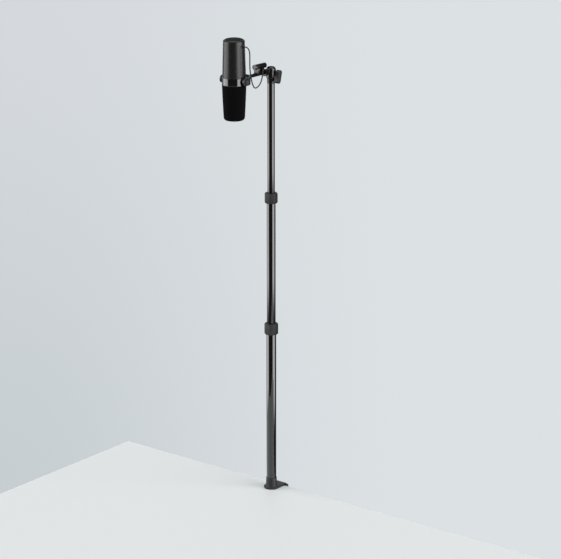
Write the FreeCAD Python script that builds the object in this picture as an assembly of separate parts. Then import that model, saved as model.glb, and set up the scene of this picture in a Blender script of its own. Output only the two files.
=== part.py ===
import FreeCAD
import Part
import math
import os

# Desk-clamped telescopic pole that carries a broadcast microphone.
# Millimetres. The origin is on the pole's axis in the plane of the desk top, +Z is up, +Y leaves the
# desk over its back edge, and the microphone stands off towards -Y.

# ---- driving dimensions ----
HEAD_Z = 1041.5            # desk top to the centre of the ball
REACH = 137.0              # pole axis to microphone axis
RUN = 0.05                 # radial clearance of a shaft that turns or slides in its bore
SEAT = 0.03                # radial clearance of a piece that is fixed in its bore
GAP = 0.3                  # clearance between pieces that move past each other

# clamp
DESK = 25.0                # thickness of the desk top that it grips at rest
EDGE_Y = 29.5              # pole axis to the desk's edge
PLATE_R = 18.5             # half the width of the top plate, and its round front
PLATE_T = 3.6
PAD_T = 1.4                # rubber pad under the top plate
PAD_INSET = 0.8            # pad to the plate's edges, and the width of the lip behind it
BACK_W, BACK_T = 50.0, 6.0
JAW_MAX = 56.0             # deepest desk that the jaw takes
JAW_W, JAW_T = 30.0, 8.0
BOSS_R, BOSS_H = 12.0, 16.0
SCREW_R, SCREW_L = 5.0, 86.0
DISC_R, DISC_T, DISC_PAD_T, DISC_NECK = 17.0, 3.0, 2.0, 5.0
KNOB_R, KNOB_H, KNOB_LOBES = 19.0, 16.0, 6

# pole
LOWER_R, MIDDLE_R, UPPER_R, WALL = 12.0, 10.7, 9.0, 0.8
SOCKET_H, SOCKET_WALL, SOCKET_FLARE = 22.5, 0.85, 4.2
LOWER_COLLAR_Z, LOWER_COLLAR_H, LOWER_COLLAR_W = 410.0, 27.0, 31.6
UPPER_COLLAR_Z, UPPER_COLLAR_H, UPPER_COLLAR_W = 735.5, 25.0, 29.4
COLLAR_SIDES, COLLAR_TURN, COLLAR_BEVEL = 8, 5.0, 2.2
MIDDLE_INSERT, UPPER_INSERT = 70.0, 62.0
PLUG_L, GUIDE_L = 14.0, 6.0
BOLT_R, BOLT_HEAD_R = 3.0, 6.0

# ball head
BALL_R, BALL_GAP = 9.0, 0.12
CUP_R, CUP_DROP = 7.2, 13.8              # nylon cup that the lock screw presses under the ball
PLUG_STUD_L = 12.0
HOUSING_R, NECK_R = 11.7, 9.6
TUBE_TOP_DROP = 28.5       # ball centre to the top of the upper tube
SHOULDER_DROP = 15.0       # ball centre to the foot of the wide part
HOUSING_RISE = 10.4        # ball centre to the rim of the housing
MOUTH_R = 7.0
STUD_NECK_R, STUD_R = 3.9, 3.0
PLATFORM_Y, PLATFORM_R, PLATFORM_T = 13.0, 8.0, 3.2
LOCK_DROP = 11.0           # ball centre to the lock screw's axis
LOCK_R, LOCK_BOSS_R, LOCK_BOSS_X = 2.5, 5.2, 13.4
WING_L, WING_W, WING_T, WING_TILT = 32.0, 12.0, 11.5, 14.0

# arm, yoke and pivots
NUT_Y, NUT_L, NUT_R = 20.4, 8.0, 8.4
ARM_R = 4.5
YOKE_R, YOKE_T, YOKE_H = 36.0, 3.0, 18.5   # half the width over its sides, and its flat bar
YOKE_STRAIGHT = 3.0        # pivot axis to where the sides start to curve
PIVOT_KNOB_R, PIVOT_KNOB_T, PIVOT_R = 6.2, 2.8, 2.5
YOKE_BOLT_HEAD_R, YOKE_BOLT_HEAD_T = 4.5, 2.5

# connector barrel
BARREL_R, BARREL_RISE, BARREL_WALL = 6.25, 18.0, 1.0
BARREL_FRONT, BARREL_BACK = 63.0, 22.5
CAP_L, INSERT_DEPTH, PIN_R = 5.0, 1.2, 0.6
SADDLE_FRONT, SADDLE_BACK, SADDLE_W = 58.0, 36.0, 10.0
GLAND_X, GLAND_Y = 8.0, -42.0

# microphone, heights from the pivot axis
RING_R, RING_H, RING_WALL, LIP_H = 28.0, 15.0, 3.5, 2.0
SHELL_FOOT_R, SHELL_TOP_R, SHELL_H, SHELL_WALL = 27.4, 25.0, 84.5, 1.5
CAP_BEVEL, CAP_DOME = 3.6, 2.8
FOAM_TOP_R, FOAM_FOOT_R, FOAM_H, FOAM_WALL, FOAM_ROUND = 28.4, 24.6, 83.5, 6.5, 6.5
BASKET_WALL = 0.8
CHASSIS_R, CHASSIS_WALL = 14.0, 1.5
CAPSULE_R, CAPSULE_H = 13.0, 22.0
BOSS_PIVOT_R, WASHER_R, WASHER_T = 5.5, 6.0, 1.2

# microphone lead, from the shell's strain relief to the gland under the barrel
LEAD_R = 1.4
LEAD_RISE = 81.5           # pivot axis to the lead's exit
RELIEF_L, RELIEF_R = 6.0, 3.0
LEAD_ROUTE = [
    (39.2, -137.0, 1123.0), (45.7, -137.2, 1116.0), (46.7, -137.0, 1103.5), (46.4, -137.3, 1084.0),
    (47.4, -137.0, 1065.0), (45.9, -131.0, 1047.5), (40.4, -117.5, 1029.0), (32.8, -100.0, 1020.5),
    (23.0, -77.5, 1019.5), (13.8, -56.0, 1024.0), (8.0, -42.0, 1036.0),
]

X, Y, Z = FreeCAD.Vector(1, 0, 0), FreeCAD.Vector(0, 1, 0), FreeCAD.Vector(0, 0, 1)
LOWER_TOP = LOWER_COLLAR_Z - 3.0         # tube ends, inside their collars
MIDDLE_TOP = UPPER_COLLAR_Z - 3.0
TUBE_TOP = HEAD_Z - TUBE_TOP_DROP
PLATE_TOP = PAD_T + PLATE_T
BARREL_Z = HEAD_Z + BARREL_RISE
BEND_Y = YOKE_STRAIGHT - REACH           # centre of the yoke's round back
nodes = {}


# ---- shape helpers ----
def rod(radius, base, direction, length):
    return Part.makeCylinder(radius, length, FreeCAD.Vector(*base), direction)


def sleeve(outer, inner, base, direction, length):
    return rod(outer, base, direction, length).cut(rod(inner, base, direction, length))


def block(low, high):
    size = [b - a for a, b in zip(low, high)]
    return Part.makeBox(*size, FreeCAD.Vector(*low))


def placed(shape, base, direction):
    """Moves a shape that was made round +Z to stand at base along direction."""
    shape.Placement = FreeCAD.Placement(FreeCAD.Vector(*base), FreeCAD.Rotation(Z, direction))
    return shape


def turned(outline, base=(0, 0, 0), direction=Z):
    """Revolves an outline of (radius, height) points round +Z and places it."""
    points = [FreeCAD.Vector(r, 0, h) for r, h in outline]
    face = Part.Face(Part.makePolygon(points + points[:1]))
    return placed(face.revolve(FreeCAD.Vector(), Z, 360), base, direction)


def stadium(length, width, thickness):
    """A slab with round ends, flat in YZ round the origin, thick along +X."""
    half = (length - width) / 2
    slab = block((0, -width / 2, -half), (thickness, width / 2, half))
    ends = [rod(width / 2, (0, 0, s * half), X, thickness) for s in (-1, 1)]
    return slab.fuse(ends).removeSplitter()


def chamfered(shape, size, keep):
    return shape.makeChamfer(size, [e for e in shape.Edges if keep(e)])


def filleted(shape, size, keep):
    return shape.makeFillet(size, [e for e in shape.Edges if keep(e)])


def flat_at(edge, z):
    box = edge.BoundBox
    return abs(box.ZMin - z) < 0.01 and abs(box.ZMax - z) < 0.01


# ---- clamp ----
def clamp_frame():
    top = rod(PLATE_R, (0, 0, PAD_T), Z, PLATE_T)
    top = top.fuse(block((-PLATE_R, 0, PAD_T), (PLATE_R, EDGE_Y + BACK_T, PLATE_TOP))).removeSplitter()
    top = filleted(top, 1.0, lambda e: flat_at(e, PLATE_TOP) and e.BoundBox.YMin < EDGE_Y)
    foot = -JAW_MAX - DISC_T - DISC_PAD_T - DISC_NECK - 1.0 - JAW_T
    back = block((-BACK_W / 2, EDGE_Y, foot), (BACK_W / 2, EDGE_Y + BACK_T, PLATE_TOP - 1.2))
    back = filleted(back, 3.0, lambda e: e.BoundBox.YLength > BACK_T - 0.1)
    jaw = block((-JAW_W / 2, 0, foot), (JAW_W / 2, EDGE_Y + BACK_T / 2, foot + JAW_T))
    jaw = jaw.fuse(rod(JAW_W / 2, (0, 0, foot), Z, JAW_T))
    boss = rod(BOSS_R, (0, 0, foot - (BOSS_H - JAW_T)), Z, BOSS_H)
    ribs = [rib(s * (JAW_W / 2 - 4.0), foot + JAW_T) for s in (-1, 1)]
    lip = block((-PLATE_R, EDGE_Y - PAD_INSET, 0), (PLATE_R, EDGE_Y + 1, PAD_T + 1))
    body = top.fuse([back, lip, jaw, boss] + ribs).removeSplitter()
    body = body.cut(rod(SCREW_R + RUN, (0, 0, foot - BOSS_H), Z, 2 * BOSS_H))
    return body.cut(bolt_head(SEAT)).cut(rod(BOLT_R + SEAT, (0, 0, PAD_T), Z, PLATE_T))


def rib(x, z):
    """A gusset between the back plate and the lower jaw."""
    reach = 14.0
    corner = [(EDGE_Y + 1, z - 1), (EDGE_Y - reach, z - 1), (EDGE_Y - reach, z), (EDGE_Y, z + reach)]
    corner.append((EDGE_Y + 1, z + reach))
    points = [FreeCAD.Vector(x - 1.5, y, h) for y, h in corner]
    return Part.Face(Part.makePolygon(points + points[:1])).extrude(FreeCAD.Vector(3.0, 0, 0))


def bolt_head(spare=0.0):
    """The countersunk head of the bolt that holds the pole, flush with the plate's underside."""
    head = BOLT_HEAD_R + spare
    return turned([(0, 0), (head, 0), (BOLT_R + spare, head - BOLT_R), (0, head - BOLT_R)],
                  (0, 0, PAD_T))


def top_pad():
    half = PLATE_R - PAD_INSET
    pad = rod(half, (0, 0, 0), Z, PAD_T)
    return pad.fuse(block((-half, 0, 0), (half, EDGE_Y - PAD_INSET, PAD_T))).removeSplitter()


def pole_socket():
    rim = LOWER_R + SOCKET_WALL
    waist = SOCKET_H - 13.5
    outline = [(LOWER_R + SEAT, 0), (rim + SOCKET_FLARE, 0), (rim + SOCKET_FLARE, 0.6),
               (rim + 0.6 * SOCKET_FLARE, 1.6), (rim + 0.38 * SOCKET_FLARE, 3.6),
               (rim + 0.2 * SOCKET_FLARE, waist), (rim, SOCKET_H - 0.8), (rim - 0.5, SOCKET_H),
               (LOWER_R + SEAT, SOCKET_H)]
    return turned(outline, (0, 0, PLATE_TOP))


def clamp():
    nodes["clamp_frame"] = clamp_frame()
    nodes["top_pad"] = top_pad()
    nodes["pole_socket"] = pole_socket()
    nodes["pole_bolt"] = bolt_head().fuse(rod(BOLT_R, (0, 0, PAD_T), Z, PLATE_T + PLUG_L)).removeSplitter()
    pad_top = -DESK
    disc_top = pad_top - DISC_PAD_T
    nodes["pressure_pad"] = rod(DISC_R - 1.0, (0, 0, disc_top), Z, DISC_PAD_T)
    disc = chamfered(rod(DISC_R, (0, 0, disc_top - DISC_T), Z, DISC_T), 0.6, lambda e: flat_at(e, disc_top))
    neck = sleeve(8.0, SCREW_R + RUN, (0, 0, disc_top - DISC_T - DISC_NECK), Z, DISC_NECK)
    nodes["pressure_disc"] = disc.fuse(neck).removeSplitter()
    screw_top = disc_top - DISC_T - GAP
    nodes["clamp_screw"] = turned(
        [(0, 0), (SCREW_R - 1.0, 0), (SCREW_R, -1.0), (SCREW_R, -SCREW_L), (0, -SCREW_L)], (0, 0, screw_top))
    nodes["clamp_knob"] = clamp_knob(screw_top - SCREW_L)


def clamp_knob(foot):
    """A lobed hand knob, moulded on the end of the clamp screw."""
    low = foot - 4.0
    knob = rod(KNOB_R, (0, 0, low), Z, KNOB_H)
    knob = chamfered(knob, 1.5, lambda e: flat_at(e, low) or flat_at(e, low + KNOB_H))
    for i in range(KNOB_LOBES):
        angle = 2 * math.pi * i / KNOB_LOBES
        place = ((KNOB_R + 3.0) * math.cos(angle), (KNOB_R + 3.0) * math.sin(angle), low)
        knob = knob.cut(rod(6.0, place, Z, KNOB_H))
    return knob.cut(rod(SCREW_R + SEAT, (0, 0, foot), Z, KNOB_H))


# ---- telescopic pole ----
def twist_lock(name, middle, height, width, outer_r, inner_r):
    """The collar that turns on the outer tube's end, and the split clutch that it squeezes."""
    foot, top = middle - height / 2, middle + height / 2
    rim = middle - 3.0
    clutch_r = inner_r + 2.4
    lip = 2.5
    corner = width / 2 / math.cos(math.pi / COLLAR_SIDES)
    angles = [math.radians(COLLAR_TURN) + 2 * math.pi * (i + 0.5) / COLLAR_SIDES for i in range(COLLAR_SIDES)]
    points = [FreeCAD.Vector(corner * math.cos(a), corner * math.sin(a), foot) for a in angles]
    collar = Part.Face(Part.makePolygon(points + points[:1])).extrude(FreeCAD.Vector(0, 0, height))
    collar = filleted(collar, 2.5, lambda e: e.BoundBox.ZLength > height - 0.1)
    cone = width / 2 + 1.2
    outline = [(0, foot), (cone - COLLAR_BEVEL, foot), (cone, foot + COLLAR_BEVEL),
               (cone, top - COLLAR_BEVEL), (cone - COLLAR_BEVEL, top), (0, top)]
    collar = collar.common(turned(outline))
    collar = collar.cut(rod(outer_r + RUN, (0, 0, foot), Z, rim - foot + GAP))
    collar = collar.cut(rod(clutch_r + GAP, (0, 0, rim), Z, top - lip - rim))
    nodes[name + "_collar"] = collar.cut(rod(inner_r + GAP, (0, 0, foot), Z, height))
    bush_top = top - lip - GAP
    bush = turned([(inner_r + RUN, rim), (clutch_r, rim), (clutch_r, bush_top - 3.0),
                   (clutch_r - 1.4, bush_top), (inner_r + RUN, bush_top)])
    slit = block((0, -0.6, rim + 3.0), (clutch_r + 1, 0.6, bush_top + 1))
    nodes[name + "_clutch"] = bush.cut(slit)


def guide_plug(foot, bore_r, outer_bore_r, clearance):
    """A plastic plug in a tube's lower end, with a flange that runs in the tube outside it."""
    plug = rod(bore_r - clearance, (0, 0, foot), Z, PLUG_L)
    flange = rod(outer_bore_r - 2 * RUN, (0, 0, foot - GUIDE_L), Z, GUIDE_L)
    hollow = rod(bore_r - 3.0, (0, 0, foot - GUIDE_L), Z, PLUG_L + GUIDE_L)
    return plug.fuse(flange).cut(hollow).removeSplitter()


def pole():
    nodes["lower_tube"] = sleeve(LOWER_R, LOWER_R - WALL, (0, 0, PLATE_TOP), Z, LOWER_TOP - PLATE_TOP)
    nodes["lower_tube_plug"] = sleeve(LOWER_R - WALL - SEAT, BOLT_R + SEAT, (0, 0, PLATE_TOP), Z, PLUG_L)
    twist_lock("lower", LOWER_COLLAR_Z, LOWER_COLLAR_H, LOWER_COLLAR_W, LOWER_R, MIDDLE_R)
    middle_foot = LOWER_TOP - MIDDLE_INSERT
    nodes["middle_tube"] = sleeve(MIDDLE_R, MIDDLE_R - WALL, (0, 0, middle_foot), Z, MIDDLE_TOP - middle_foot)
    nodes["middle_guide"] = guide_plug(middle_foot, MIDDLE_R - WALL, LOWER_R - WALL, SEAT)
    twist_lock("upper", UPPER_COLLAR_Z, UPPER_COLLAR_H, UPPER_COLLAR_W, MIDDLE_R, UPPER_R)
    upper_foot = MIDDLE_TOP - UPPER_INSERT
    nodes["upper_tube"] = sleeve(UPPER_R, UPPER_R - WALL, (0, 0, upper_foot + GAP), Z,
                                 TUBE_TOP - upper_foot - GAP)
    nodes["upper_guide"] = guide_plug(upper_foot, UPPER_R - WALL, MIDDLE_R - WALL, RUN)


# ---- ball head ----
def head_housing():
    wide_z, top_z = -SHOULDER_DROP, HOUSING_RISE
    outline = [(0, -TUBE_TOP_DROP), (NECK_R - 0.5, -TUBE_TOP_DROP), (NECK_R, -TUBE_TOP_DROP + 0.5),
               (NECK_R, wide_z - 2.0), (HOUSING_R, wide_z), (HOUSING_R, top_z - 6.4),
               (HOUSING_R - 0.7, top_z - 3.9), (HOUSING_R - 2.2, top_z - 1.6), (HOUSING_R - 3.6, top_z),
               (0, top_z)]
    body = turned(outline, (0, 0, HEAD_Z))
    boss = rod(LOCK_BOSS_R, (0, 0, HEAD_Z - LOCK_DROP), X, LOCK_BOSS_X)
    body = body.fuse(boss).removeSplitter()
    ball_space = BALL_R + BALL_GAP
    body = body.cut(Part.makeSphere(ball_space, FreeCAD.Vector(0, 0, HEAD_Z)))
    body = body.cut(rod(MOUTH_R, (0, 0, HEAD_Z), Z, HOUSING_RISE + 1))
    slot = STUD_NECK_R + GAP
    body = body.cut(rod(slot, (0, 0, HEAD_Z), -Y, HOUSING_R + 2))
    body = body.cut(block((-slot, -HOUSING_R - 2, HEAD_Z), (slot, 0, HEAD_Z + HOUSING_RISE + 1)))
    body = body.cut(rod(CUP_R + SEAT, (0, 0, HEAD_Z - CUP_DROP), Z, CUP_DROP))
    body = body.cut(rod(LOCK_R + RUN, (0, 0, HEAD_Z - LOCK_DROP), X, LOCK_BOSS_X + 2))
    return body.cut(rod(STUD_R + SEAT, (0, 0, TUBE_TOP - 1), Z, PLUG_STUD_L + 1))


def ball_cup():
    cup = rod(CUP_R, (0, 0, HEAD_Z - CUP_DROP), Z, CUP_DROP - 4.0)
    cup = cup.cut(Part.makeSphere(BALL_R + BALL_GAP, FreeCAD.Vector(0, 0, HEAD_Z)))
    return cup.cut(rod(LOCK_R + GAP, (CUP_R - 2.0, 0, HEAD_Z - LOCK_DROP), X, 4.0))


def ball_stud():
    ball = Part.makeSphere(BALL_R, FreeCAD.Vector(0, 0, HEAD_Z))
    neck = rod(STUD_NECK_R, (0, 0, HEAD_Z), -Y, PLATFORM_Y + 1)
    platform = rod(PLATFORM_R, (0, -PLATFORM_Y, HEAD_Z), -Y, PLATFORM_T)
    platform = chamfered(platform, 0.6, lambda e: True)
    stud = rod(STUD_R, (0, -PLATFORM_Y, HEAD_Z), -Y, NUT_Y + NUT_L + 14.0 - PLATFORM_Y)
    return ball.fuse([neck, platform, stud]).removeSplitter()


def wing_knob():
    """The lock knob: a hub and a flat wing that stands a little off upright."""
    axis_z = HEAD_Z - LOCK_DROP
    near = LOCK_BOSS_X + GAP
    hub = rod(6.2, (near, 0, axis_z), X, 3.0)
    wing = filleted(stadium(WING_L, WING_W, WING_T), 1.6, lambda e: e.BoundBox.XLength < 0.01)
    wing.rotate(FreeCAD.Vector(), X, -WING_TILT)
    wing.translate(FreeCAD.Vector(near + 1.8, 0, axis_z))
    knob = hub.fuse(wing).removeSplitter()
    return knob.cut(rod(LOCK_R + SEAT, (near - 1, 0, axis_z), X, 9.0))


def head():
    plug = rod(UPPER_R - WALL - SEAT, (0, 0, TUBE_TOP - PLUG_L), Z, PLUG_L)
    nodes["tube_top_plug"] = plug.fuse(rod(STUD_R, (0, 0, TUBE_TOP), Z, PLUG_STUD_L)).removeSplitter()
    nodes["head_housing"] = head_housing()
    nodes["ball_cup"] = ball_cup()
    nodes["ball_stud"] = ball_stud()
    nodes["lock_knob"] = wing_knob()
    tip = CUP_R - 2.0 + GAP
    nodes["lock_screw"] = rod(LOCK_R, (tip, 0, HEAD_Z - LOCK_DROP), X, LOCK_BOSS_X + GAP + 8.0 - tip)


# ---- arm and yoke ----
def lock_nut():
    """The knurled nut that jams against the arm's end."""
    nut = chamfered(rod(NUT_R, (0, -NUT_Y, HEAD_Z), -Y, NUT_L), 0.8, lambda e: True)
    grooves = 20
    for i in range(grooves):
        angle = 2 * math.pi * i / grooves
        place = ((NUT_R + 0.35) * math.cos(angle), -NUT_Y, HEAD_Z + (NUT_R + 0.35) * math.sin(angle))
        nut = nut.cut(rod(0.8, place, -Y, NUT_L))
    return nut.cut(rod(STUD_R + RUN, (0, -NUT_Y + 1, HEAD_Z), -Y, NUT_L + 2))


def yoke_band():
    """A flat bar bent to a U: straight, round-ended sides and a round back."""
    low, far_y = HEAD_Z - YOKE_H / 2, -REACH - YOKE_H
    edges, ends = [], []
    for r in (YOKE_R, YOKE_R - YOKE_T):
        left, back, right = [FreeCAD.Vector(*p, low) for p in ((-r, BEND_Y), (0, BEND_Y + r), (r, BEND_Y))]
        ends.append([FreeCAD.Vector(side.x, far_y, low) for side in (left, right)])
        edges += [Part.LineSegment(ends[-1][0], left), Part.Arc(left, back, right),
                  Part.LineSegment(right, ends[-1][1])]
    edges += [Part.LineSegment(outer, inner) for outer, inner in zip(*ends)]
    loop = Part.Wire(Part.__sortEdges__([edge.toShape() for edge in edges]))
    bar = Part.Face(loop).extrude(Z * YOKE_H)
    ears = rod(YOKE_H / 2, (-YOKE_R - 1, -REACH, HEAD_Z), X, 2 * YOKE_R + 2)
    kept = ears.fuse(block((-YOKE_R - 1, -REACH, low - 1), (YOKE_R + 1, 0, low + YOKE_H + 1)))
    band = bar.common(kept).removeSplitter()
    band = band.cut(rod(PIVOT_R + RUN, (-YOKE_R - 1, -REACH, HEAD_Z), X, 2 * YOKE_R + 2))
    return band.cut(rod(STUD_R + SEAT, (0, BEND_Y + YOKE_R - YOKE_T - 1, HEAD_Z), Y, YOKE_T + 2))


def arm():
    back_y = BEND_Y + YOKE_R
    near_y = -(NUT_Y + NUT_L + GAP)
    nodes["arm_lock_nut"] = lock_nut()
    nodes["stud_washer"] = sleeve(6.5, STUD_R + SEAT, (0, -PLATFORM_Y - PLATFORM_T, HEAD_Z), -Y, 1.2)
    tube = rod(ARM_R, (0, back_y, HEAD_Z), Y, near_y - back_y)
    collar = turned([(0, 0), (ARM_R + 2.0, 0), (ARM_R + 2.0, 2.5), (ARM_R, 4.0), (0, 4.0)],
                    (0, back_y, HEAD_Z), Y)
    saddle_cut = rod(YOKE_R, (0, BEND_Y, HEAD_Z - YOKE_H), Z, 2 * YOKE_H)
    tube = tube.fuse(collar).cut(saddle_cut).removeSplitter()
    tube = tube.cut(rod(STUD_R + RUN, (0, near_y + 1, HEAD_Z), -Y, 16.5))
    nodes["arm_tube"] = tube.cut(rod(STUD_R + SEAT, (0, back_y - 1, HEAD_Z), Y, 15.0))
    nodes["yoke_band"] = yoke_band()
    inner_y = back_y - YOKE_T
    head_disc = rod(YOKE_BOLT_HEAD_R, (0, inner_y, HEAD_Z), -Y, YOKE_BOLT_HEAD_T)
    flat = rod(YOKE_R - YOKE_T - SEAT, (0, BEND_Y, HEAD_Z - YOKE_H), Z, 2 * YOKE_H)
    bolt = rod(STUD_R, (0, inner_y - 0.5, HEAD_Z), Y, 15.0)
    nodes["yoke_bolt"] = head_disc.common(flat).fuse(bolt).removeSplitter()
    for side, s in (("left", -1), ("right", 1)):
        out = X * s
        face = s * (YOKE_R + GAP)
        rim = PIVOT_KNOB_R - 1.5
        outline = [(0, 0), (PIVOT_KNOB_R, 0), (PIVOT_KNOB_R, PIVOT_KNOB_T - 0.9),
                   (PIVOT_KNOB_R - 0.9, PIVOT_KNOB_T), (rim, PIVOT_KNOB_T), (rim - 0.5, PIVOT_KNOB_T - 0.5),
                   (0, PIVOT_KNOB_T - 0.5)]
        knob = turned(outline, (face, -REACH, HEAD_Z), out)
        tip = s * (RING_R + 1.0)
        nodes[side + "_yoke_knob"] = knob.cut(rod(PIVOT_R + SEAT, (face, -REACH, HEAD_Z), out, 2.0))
        nodes[side + "_pivot_screw"] = rod(PIVOT_R, (tip, -REACH, HEAD_Z), out, abs(face - tip) + 2.0)


# ---- connector barrel on the arm ----
def connector():
    long = BARREL_FRONT - BARREL_BACK
    shell_back = -BARREL_BACK
    body = rod(BARREL_R, (0, shell_back, BARREL_Z), -Y, long - CAP_L)
    body = chamfered(body, 0.7, lambda e: e.BoundBox.YMin > shell_back - 0.1)
    hollow = rod(BARREL_R - BARREL_WALL, (0, shell_back - 2.0, BARREL_Z), -Y, long)
    hole = rod(LEAD_R + 0.6, (GLAND_X, GLAND_Y, BARREL_Z - 1), -X, GLAND_X)
    nodes["connector_barrel"] = body.cut(hollow).cut(hole)
    rim = BARREL_R - BARREL_WALL
    cap = turned([(rim, 0), (BARREL_R, 0), (BARREL_R, CAP_L - 0.7), (BARREL_R - 0.7, CAP_L), (rim, CAP_L)],
                 (0, -BARREL_FRONT + CAP_L, BARREL_Z), -Y)
    nodes["barrel_end_cap"] = cap
    face_y = -BARREL_FRONT + INSERT_DEPTH
    nodes["connector_insert"] = rod(rim - SEAT, (0, face_y, BARREL_Z), Y, 12.0)
    pins = []
    for i in range(3):
        angle = math.radians(90 + 120 * i)
        place = (2.6 * math.cos(angle), face_y, BARREL_Z + 2.6 * math.sin(angle))
        pins.append(rod(PIN_R, place, -Y, INSERT_DEPTH - 0.3))
    nodes["connector_pins"] = Part.makeCompound(pins)
    saddle = block((-SADDLE_W / 2, -SADDLE_FRONT, HEAD_Z), (SADDLE_W / 2, -SADDLE_BACK, BARREL_Z))
    ear = block((0, GLAND_Y - 3.2, BARREL_Z - 6.5), (GLAND_X + 3.0, GLAND_Y + 3.2, BARREL_Z - 1.5))
    saddle = saddle.fuse(ear).removeSplitter()
    saddle = saddle.cut(rod(ARM_R + SEAT, (0, -SADDLE_FRONT - 1, HEAD_Z), Y, SADDLE_FRONT))
    saddle = saddle.cut(rod(BARREL_R + SEAT, (0, -SADDLE_FRONT - 1, BARREL_Z), Y, SADDLE_FRONT))
    nodes["barrel_saddle"] = saddle
    nodes["lead_gland"] = turned([(0, 0), (2.6, 0), (2.6, -1.5), (LEAD_R + 0.35, -5.0), (0, -5.0)],
                                 (GLAND_X, GLAND_Y, BARREL_Z - 6.5))


# ---- microphone ----
def at_mic(height):
    return (0, -REACH, HEAD_Z + height)


def tapered(foot_r, top_r, foot, height):
    return Part.makeCone(foot_r, top_r, height, FreeCAD.Vector(*at_mic(foot)), Z)


def microphone():
    half = RING_H / 2
    lip_foot = -half - LIP_H
    inner = RING_R - RING_WALL
    ring = turned([(inner, lip_foot), (RING_R + 0.4, lip_foot), (RING_R + 0.8, lip_foot + 0.6),
                   (RING_R + 0.4, -half), (RING_R, -half), (RING_R, half), (inner, half)], at_mic(0))
    band_inside = math.sqrt((YOKE_R - YOKE_T) ** 2 - max(0, WASHER_R - YOKE_STRAIGHT) ** 2)
    reach = band_inside - GAP - WASHER_T
    bosses = [rod(BOSS_PIVOT_R, (s * (RING_R - 1.5), -REACH, HEAD_Z), X * s, reach - RING_R + 1.5)
              for s in (-1, 1)]
    holes = [rod(PIVOT_R + RUN, (s * (RING_R + 0.8), -REACH, HEAD_Z), X * s, reach) for s in (-1, 1)]
    nodes["mid_ring"] = ring.fuse(bosses).cut(Part.makeCompound(holes)).removeSplitter()
    washers = [sleeve(WASHER_R, PIVOT_R + RUN, (s * reach, -REACH, HEAD_Z), X * s, WASHER_T) for s in (-1, 1)]
    nodes["pivot_washers"] = Part.makeCompound(washers)
    rear(half)
    front(lip_foot, inner)
    inside(half, inner)


def rear(half):
    shell = tapered(SHELL_FOOT_R, SHELL_TOP_R, half, SHELL_H)
    hollow = tapered(SHELL_FOOT_R - SHELL_WALL, SHELL_TOP_R - SHELL_WALL, half, SHELL_H)
    exit_r = SHELL_FOOT_R + (SHELL_TOP_R - SHELL_FOOT_R) * (LEAD_RISE - half) / SHELL_H
    hole = rod(RELIEF_R - 0.8 + SEAT, (0, -REACH, HEAD_Z + LEAD_RISE), X, exit_r + 2)
    nodes["rear_shell"] = shell.cut(hollow).cut(hole)
    top = half + SHELL_H
    rim = SHELL_TOP_R
    cap = turned([(0, -4.0), (rim - SHELL_WALL - SEAT, -4.0), (rim - SHELL_WALL - SEAT, 0), (rim, 0),
                  (rim, 0.8), (rim - CAP_BEVEL, CAP_BEVEL), (rim - CAP_BEVEL - 6, CAP_BEVEL + 0.55 * CAP_DOME),
                  (rim - CAP_BEVEL - 13, CAP_BEVEL + 0.88 * CAP_DOME), (0, CAP_BEVEL + CAP_DOME)],
                 at_mic(top))
    nodes["rear_cap"] = cap
    stem = exit_r - SHELL_WALL - 1.5
    wide = exit_r - 0.2 - stem
    nodes["shell_strain_relief"] = turned(
        [(0, 0), (RELIEF_R - 0.8, 0), (RELIEF_R - 0.8, wide + 0.3), (RELIEF_R, wide + 0.3),
         (RELIEF_R, wide + 1.6), (LEAD_R + 0.35, wide + RELIEF_L), (0, wide + RELIEF_L)],
        (stem, -REACH, HEAD_Z + LEAD_RISE), X)


def relief_end():
    """The point where the lead leaves the shell's strain relief."""
    half = RING_H / 2
    exit_r = SHELL_FOOT_R + (SHELL_TOP_R - SHELL_FOOT_R) * (LEAD_RISE - half) / SHELL_H
    return (exit_r - 0.2 + RELIEF_L, -REACH, HEAD_Z + LEAD_RISE)


def front(lip_foot, inner):
    foam_top = lip_foot - 0.1
    foot = foam_top - FOAM_H
    r = FOAM_ROUND
    outer = tapered(FOAM_FOOT_R, FOAM_TOP_R, foot, FOAM_H)
    outer = filleted(outer, r, lambda e: flat_at(e, HEAD_Z + foot))
    core_foot = foot + FOAM_WALL + 1.0
    core_h = foam_top - core_foot
    core = tapered(FOAM_FOOT_R - FOAM_WALL, FOAM_TOP_R - FOAM_WALL, core_foot, core_h)
    core = filleted(core, 5.0, lambda e: flat_at(e, HEAD_Z + core_foot))
    nodes["foam_windscreen"] = outer.cut(core)
    space = 0.3
    b_foot = core_foot + space
    b_h = lip_foot - b_foot
    out = tapered(FOAM_FOOT_R - FOAM_WALL - space, FOAM_TOP_R - FOAM_WALL - space, b_foot, b_h)
    out = filleted(out, 4.7, lambda e: flat_at(e, HEAD_Z + b_foot))
    t = BASKET_WALL
    hollow = tapered(FOAM_FOOT_R - FOAM_WALL - space - t, FOAM_TOP_R - FOAM_WALL - space - t, b_foot + t, b_h - t)
    hollow = filleted(hollow, 4.0, lambda e: flat_at(e, HEAD_Z + b_foot + t))
    flange_r = FOAM_TOP_R - FOAM_WALL - space
    flange = sleeve(inner - SEAT, flange_r - t - 0.5, at_mic(lip_foot), Z, 2.0)
    nodes["grille_basket"] = out.cut(hollow).fuse(flange).removeSplitter()


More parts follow.
